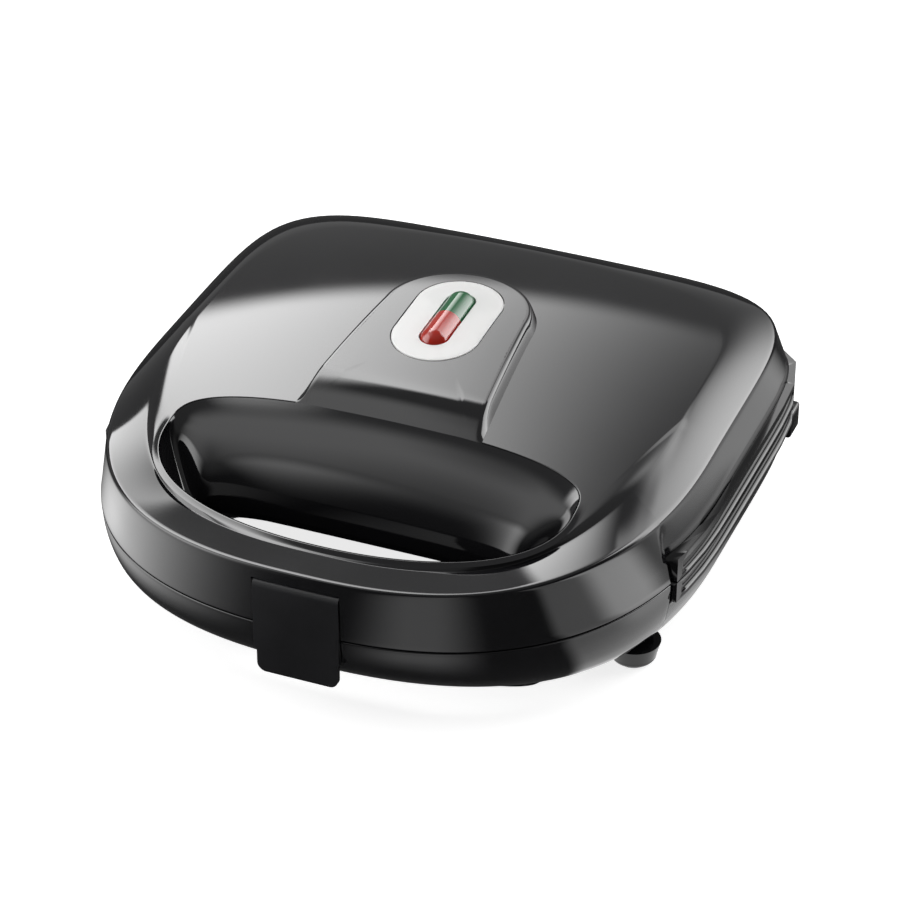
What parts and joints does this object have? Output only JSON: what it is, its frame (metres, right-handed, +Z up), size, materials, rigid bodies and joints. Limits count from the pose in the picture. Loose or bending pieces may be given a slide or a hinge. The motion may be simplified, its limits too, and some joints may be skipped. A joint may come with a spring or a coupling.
{
  "type": "sandwich toaster",
  "caption": "Clamshell sandwich toaster with a hinged lid, a handle opening through lid and base, ribbed pocket plates, indicator lamps and a front latch.",
  "frame": {"origin": "centre of the box round the closed toaster, on the table under the feet", "axes": "+Z up, -Y to the nose with the latch, +Y to the hinge and the cord inlet, +X to the right seen from the nose"},
  "size_m": [0.236, 0.2488, 0.094],
  "materials": {
    "housing": "glossy black moulded plastic",
    "frame": "semi-gloss black heat-resistant plastic",
    "latch": "satin black plastic",
    "bezel": "glossy white plastic",
    "green_lens": "translucent green lens",
    "red_lens": "translucent red lens",
    "inner_plastic": "matt heat-resistant plastic",
    "lamp": "clear glass lamp",
    "coating": "dark non-stick coating on cast aluminium",
    "heater": "dull steel tube",
    "metal": "zinc-plated steel",
    "rubber": "matt black rubber",
    "ceramic": "matt ceramic",
    "lead": "red sleeved wire"
  },
  "bodies": {
    "base": {"base_cover": "housing", "lower_frame": "frame", "lower_plate": "coating", "lower_heater": "heater", "lower_clamps": "metal", "lower_plate_screws": "metal", "lower_heat_shield": "metal", "base_screws": "metal", "feet": "housing", "foot_pads": "rubber", "cord_inlet_bush": "rubber", "terminal_block": "inner_plastic", "thermostat": "ceramic", "thermal_fuse": "metal", "internal_leads": "lead"},
    "lid": {"lid_cover": "housing", "handle_insert": "housing", "indicator_bezel": "bezel", "green_lens": "green_lens", "red_lens": "red_lens", "lamp_holder": "inner_plastic", "neon_lamps": "lamp", "holder_screws": "metal", "upper_frame": "frame", "upper_plate": "coating", "upper_heater": "heater", "upper_clamps": "metal", "upper_plate_screws": "metal", "upper_heat_shield": "metal", "lid_screws": "metal", "hinge_pins": "metal", "latch_pin": "metal"},
    "latch": {"latch_clip": "latch"}
  },
  "joints": [
    {"name": "lid_hinge", "type": "hinge", "parent": "base", "child": "lid", "pos_m": [0, 0.1133, 0.045], "axis": [-1, 0, 0], "range_deg": [0, 100]},
    {"name": "latch_hinge", "type": "hinge", "parent": "lid", "child": "latch", "pos_m": [0, -0.1208, 0.056], "axis": [-1, 0, 0], "range_deg": [0, 35]}
  ]
}
